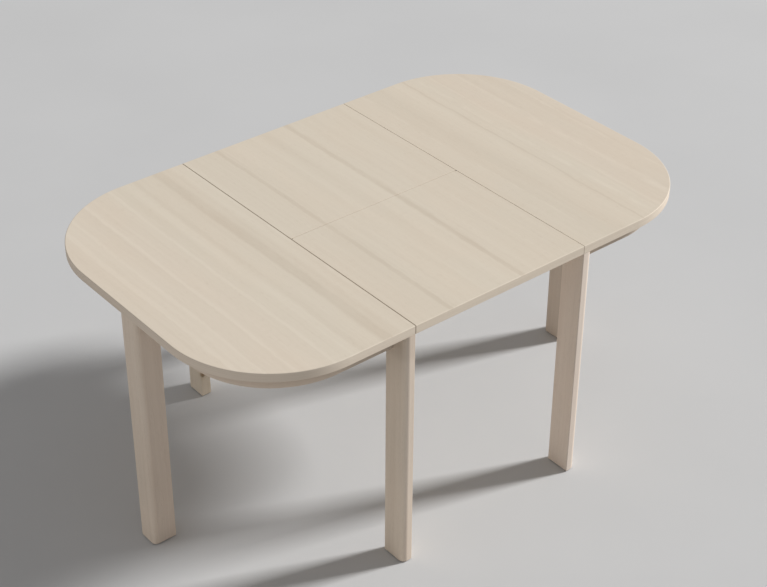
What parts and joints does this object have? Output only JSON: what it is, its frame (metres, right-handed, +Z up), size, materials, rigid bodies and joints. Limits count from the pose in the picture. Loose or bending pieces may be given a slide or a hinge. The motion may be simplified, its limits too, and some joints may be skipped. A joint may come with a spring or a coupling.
{
  "type": "butterfly leaf table",
  "caption": "Dining table with rounded corners and straight legs; the halves slide apart on bars and a leaf folded like a book swings up out of a well between them",
  "frame": {"origin": "on the floor, under the middle of the table", "axes": "+X along the table, the way the halves slide; +Y across it, toward the side whose leaf panel carries the lift arms; +Z up"},
  "size_m": [1.568, 1, 0.75],
  "materials": {
    "bleached_oak": "matt, bleached oak",
    "beech": "sanded beech",
    "zinc_steel": "zinc plated",
    "dark_steel": "black powder coat",
    "sand_coated_steel": "powder coat in the tone of the oak",
    "felt": "felt"
  },
  "bodies": {
    "centre_frame": {"centre_bar_far": "beech", "centre_bar_near": "beech", "crossbar_left": "beech", "crossbar_right": "beech", "crossbar_screws": "zinc_steel", "leaf_rest_pads": "felt", "stow_pads": "felt", "arm_fixed_pins": "zinc_steel"},
    "left_half": {"top_left": "bleached_oak", "apron_left_far": "bleached_oak", "apron_left_near": "bleached_oak", "leg_left_far": "bleached_oak", "leg_left_near": "bleached_oak", "leg_left_end": "bleached_oak", "glides_left": "felt", "dowels_left": "beech", "glue_blocks_left": "beech", "leg_brackets_left": "zinc_steel", "leg_screws_left": "zinc_steel", "slide_bar_left_far": "beech", "slide_bar_left_near": "beech", "slide_stops_left": "beech", "slide_screws_left": "zinc_steel"},
    "right_half": {"top_right": "bleached_oak", "apron_right_far": "bleached_oak", "apron_right_near": "bleached_oak", "leg_right_far": "bleached_oak", "leg_right_near": "bleached_oak", "leg_right_end": "bleached_oak", "glides_right": "felt", "dowels_right": "beech", "glue_blocks_right": "beech", "leg_brackets_right": "zinc_steel", "leg_screws_right": "zinc_steel", "slide_bar_right_far": "beech", "slide_bar_right_near": "beech", "slide_stops_right": "beech", "slide_screws_right": "zinc_steel"},
    "inner_arms": {"lift_arms_inner": "dark_steel", "lift_tie_rod": "dark_steel"},
    "outer_arms": {"lift_arms_outer": "dark_steel"},
    "far_panel": {"leaf_panel_far": "bleached_oak", "lift_brackets": "dark_steel", "lift_bracket_screws": "zinc_steel", "lift_pins": "zinc_steel", "lift_pin_clips": "dark_steel", "leaf_hinge_plates_far": "sand_coated_steel", "leaf_hinge_screws_far": "zinc_steel", "leaf_hinge_studs": "zinc_steel"},
    "hinge_risers": {"leaf_hinge_risers": "sand_coated_steel"},
    "near_panel": {"leaf_panel_near": "bleached_oak", "leaf_hinge_plates_near": "sand_coated_steel", "leaf_hinge_screws_near": "zinc_steel", "leaf_hinge_pins": "zinc_steel"}
  },
  "joints": [
    {"name": "left_half_slide", "type": "slide", "parent": "centre_frame", "child": "left_half", "axis": [-1, 0, 0], "range_m": [0, 0.028]},
    {"name": "right_half_slide", "type": "slide", "parent": "centre_frame", "child": "right_half", "axis": [1, 0, 0], "range_m": [0, 0.028]},
    {"name": "leaf_lift", "type": "hinge", "parent": "centre_frame", "child": "inner_arms", "pos_m": [0, -0.08394, 0.65625], "axis": [1, 0, 0], "range_deg": [0, 155]},
    {"name": "outer_arm_pivot", "type": "hinge", "parent": "centre_frame", "child": "outer_arms", "pos_m": [0, 0.12106, 0.65625], "axis": [1, 0, 0], "range_deg": [0, 155]},
    {"name": "far_panel_pivot", "type": "hinge", "parent": "inner_arms", "child": "far_panel", "pos_m": [0, 0.035, 0.712], "axis": [1, 0, 0], "range_deg": [-155, 0]},
    {"name": "leaf_hinge_rise", "type": "slide", "parent": "far_panel", "child": "hinge_risers", "axis": [0, 0, 1], "range_m": [0, 0.0054]},
    {"name": "leaf_fold", "type": "hinge", "parent": "hinge_risers", "child": "near_panel", "pos_m": [0, -0.0025, 0.7476], "axis": [-1, 0, 0], "range_deg": [0, 180]}
  ],
  "couplings": [
    {"joint": "outer_arm_pivot", "follows": "leaf_lift", "ratio": 1},
    {"joint": "far_panel_pivot", "follows": "leaf_lift", "ratio": -1},
    {"joint": "leaf_hinge_rise", "follows": "leaf_lift", "m_per_rad": 0.001996},
    {"joint": "leaf_fold", "follows": "leaf_lift", "ratio": 1.1613}
  ]
}
